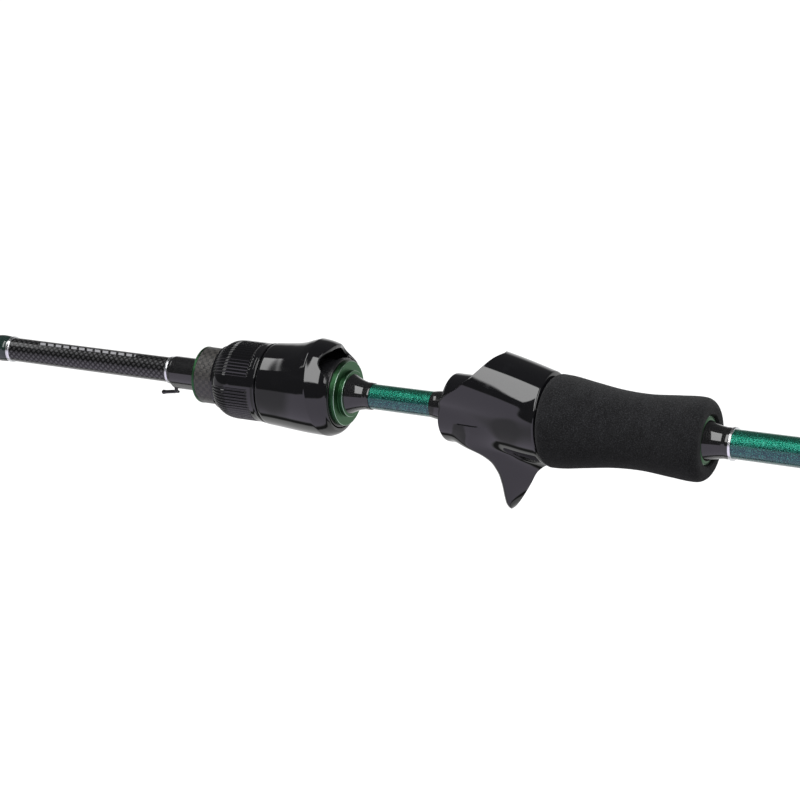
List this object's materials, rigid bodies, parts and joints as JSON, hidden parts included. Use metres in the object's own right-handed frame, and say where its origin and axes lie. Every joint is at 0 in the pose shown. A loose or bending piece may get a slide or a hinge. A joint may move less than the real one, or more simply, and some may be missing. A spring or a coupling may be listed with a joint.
{
  "type": "casting fishing rod",
  "caption": "Slim two-piece casting rod with a split trigger reel seat, foam grips, a screw-down hood, a spigot ferrule and ring guides for the line.",
  "frame": {"origin": "on the blank's axis, in the open gap between the trigger seat and the front half of the reel seat, where the hand closes round the rod", "axes": "+X along the rod towards the tip, +Z towards the reel side, so the trigger hangs towards -Z"},
  "size_m": [1.5, 0.028, 0.0467],
  "materials": {
    "rubber_cap": "matte",
    "green_anodised": "satin",
    "eva_foam": "matte",
    "black_wrap": "gloss",
    "green_blank": "gloss",
    "silver_trim": "polished",
    "gloss_black_seat": "gloss",
    "arbor_foam": "matte",
    "satin_black_barrel": "satin",
    "gloss_black_hood": "gloss",
    "hood_cushion": "matte",
    "slip_ring_plastic": "satin",
    "gloss_black_nut": "gloss",
    "woven_collar": "satin",
    "keeper_wire": "gloss",
    "woven_carbon": "gloss",
    "green_black_wrap": "gloss",
    "plain_carbon": "satin",
    "dark_blank": "gloss",
    "guide_metal": "satin",
    "guide_ceramic": "polished"
  },
  "bodies": {
    "butt_section": {"butt_cap": "rubber_cap", "butt_ring": "green_anodised", "butt_grip": "eva_foam", "butt_check": "green_anodised", "butt_wrap": "black_wrap", "butt_blank": "green_blank", "rear_trim_ring": "silver_trim", "rear_wrap": "black_wrap", "rear_check": "green_anodised", "rear_grip": "eva_foam", "trigger_seat": "gloss_black_seat", "rear_arbor": "arbor_foam", "nose_wrap": "black_wrap", "mid_wrap": "black_wrap", "front_check": "green_anodised", "threaded_barrel": "satin_black_barrel", "front_arbor": "arbor_foam", "fore_wrap": "black_wrap", "hook_keeper": "keeper_wire", "fore_trim_ring": "silver_trim", "woven_sleeve": "woven_carbon", "sleeve_trim_ring": "silver_trim", "sleeve_wrap": "green_black_wrap", "butt_ferrule_wrap": "green_black_wrap", "spigot": "plain_carbon", "guide_frame_1": "guide_metal", "guide_ring_1": "guide_ceramic", "guide_wrap_1": "green_black_wrap"},
    "hood": {"moving_hood": "gloss_black_hood", "hood_liner": "hood_cushion", "slip_ring": "slip_ring_plastic"},
    "nut": {"lock_nut": "gloss_black_nut", "nut_collar": "woven_collar", "nut_trim_ring": "green_anodised"},
    "tip_section": {"tip_ferrule_wrap": "green_black_wrap", "tip_blank": "dark_blank", "tip_top_frame": "guide_metal", "tip_top_ring": "guide_ceramic", "tip_top_wrap": "green_black_wrap", "guide_frame_2": "guide_metal", "guide_frame_3": "guide_metal", "guide_frame_4": "guide_metal", "guide_frame_5": "guide_metal", "guide_frame_6": "guide_metal", "guide_frame_7": "guide_metal", "guide_ring_2": "guide_ceramic", "guide_ring_3": "guide_ceramic", "guide_ring_4": "guide_ceramic", "guide_ring_5": "guide_ceramic", "guide_ring_6": "guide_ceramic", "guide_ring_7": "guide_ceramic", "guide_wrap_2": "green_black_wrap", "guide_wrap_3": "green_black_wrap", "guide_wrap_4": "green_black_wrap", "guide_wrap_5": "green_black_wrap", "guide_wrap_6": "green_black_wrap", "guide_wrap_7": "green_black_wrap"}
  },
  "joints": [
    {"name": "hood_slide", "type": "slide", "parent": "butt_section", "child": "hood", "axis": [1, 0, 0], "range_m": [0, 0.00751]},
    {"name": "nut_turn", "type": "hinge", "parent": "hood", "child": "nut", "pos_m": [0.05, 0, 0], "axis": [1, 0, 0], "range_deg": [0, 1800]},
    {"name": "tip_pull", "type": "slide", "parent": "butt_section", "child": "tip_section", "axis": [1, 0, 0], "range_m": [0, 0.06]}
  ],
  "couplings": [
    {"joint": "hood_slide", "follows": "nut_turn", "m_per_rad": 0.00023873}
  ]
}
